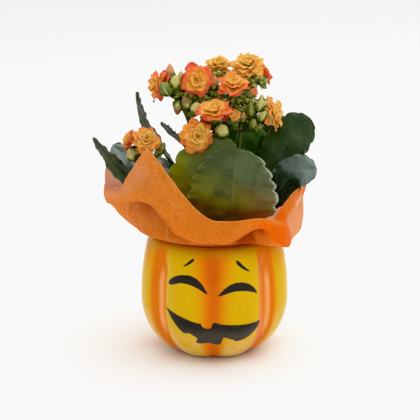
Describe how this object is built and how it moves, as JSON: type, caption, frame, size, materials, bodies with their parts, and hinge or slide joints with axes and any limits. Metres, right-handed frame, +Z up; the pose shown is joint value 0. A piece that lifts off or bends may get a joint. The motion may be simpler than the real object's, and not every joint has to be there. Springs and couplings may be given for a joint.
{
  "type": "potted kalanchoe",
  "caption": "Double-flowered kalanchoe in its nursery pot, wrapped in a non-woven sheet and set in a glazed pumpkin-shaped cover pot with a painted lantern face.",
  "frame": {"origin": "the centre of the cover pot's foot, on the surface that it stands on", "axes": "+Z up along the pot's axis, -Y towards the front where the painted face is, +X to the right as seen from the front"},
  "size_m": [0.1328, 0.0989, 0.1787],
  "materials": {
    "glaze": "glossy amber-yellow glaze with orange grooves and a face painted in charcoal",
    "pot_plastic": "thin black moulded plastic",
    "potting_mix": "dark damp peat mix",
    "wrap_sheet": "thin translucent orange non-woven fibre sheet",
    "leaf": "dark green fleshy leaf with a satin, waxy skin",
    "stalk": "green fleshy stalk, branches, calyces and buds",
    "petal": "soft petals, yellow-orange at the centre and coral at the edges"
  },
  "bodies": {
    "root": {"pumpkin_pot": "glaze", "nursery_pot": "pot_plastic", "soil": "potting_mix", "wrap": "wrap_sheet", "leaf_front": "leaf", "leaf_front_left": "leaf", "leaf_right": "leaf", "leaf_right_back": "leaf", "leaf_right_low": "leaf", "leaf_centre": "leaf", "leaf_left": "leaf", "leaf_left_back": "leaf", "leaf_left_high": "leaf", "leaf_left_small": "leaf", "leaf_back_right": "leaf", "leaf_back": "leaf", "leaf_back_left": "leaf", "leaf_back_high": "leaf", "spray_front": "stalk", "spray_left": "stalk", "spray_low": "stalk", "spray_right": "stalk", "spray_back": "stalk", "bloom_01": "petal", "bloom_02": "petal", "bloom_03": "petal", "bloom_04": "petal", "bloom_05": "petal", "bloom_06": "petal", "bloom_07": "petal", "bloom_08": "petal", "bloom_09": "petal", "bloom_10": "petal", "bloom_11": "petal", "bloom_12": "petal", "bloom_13": "petal", "bloom_14": "petal", "bloom_15": "petal", "bloom_16": "petal", "bloom_17": "petal"}
  },
  "joints": []
}
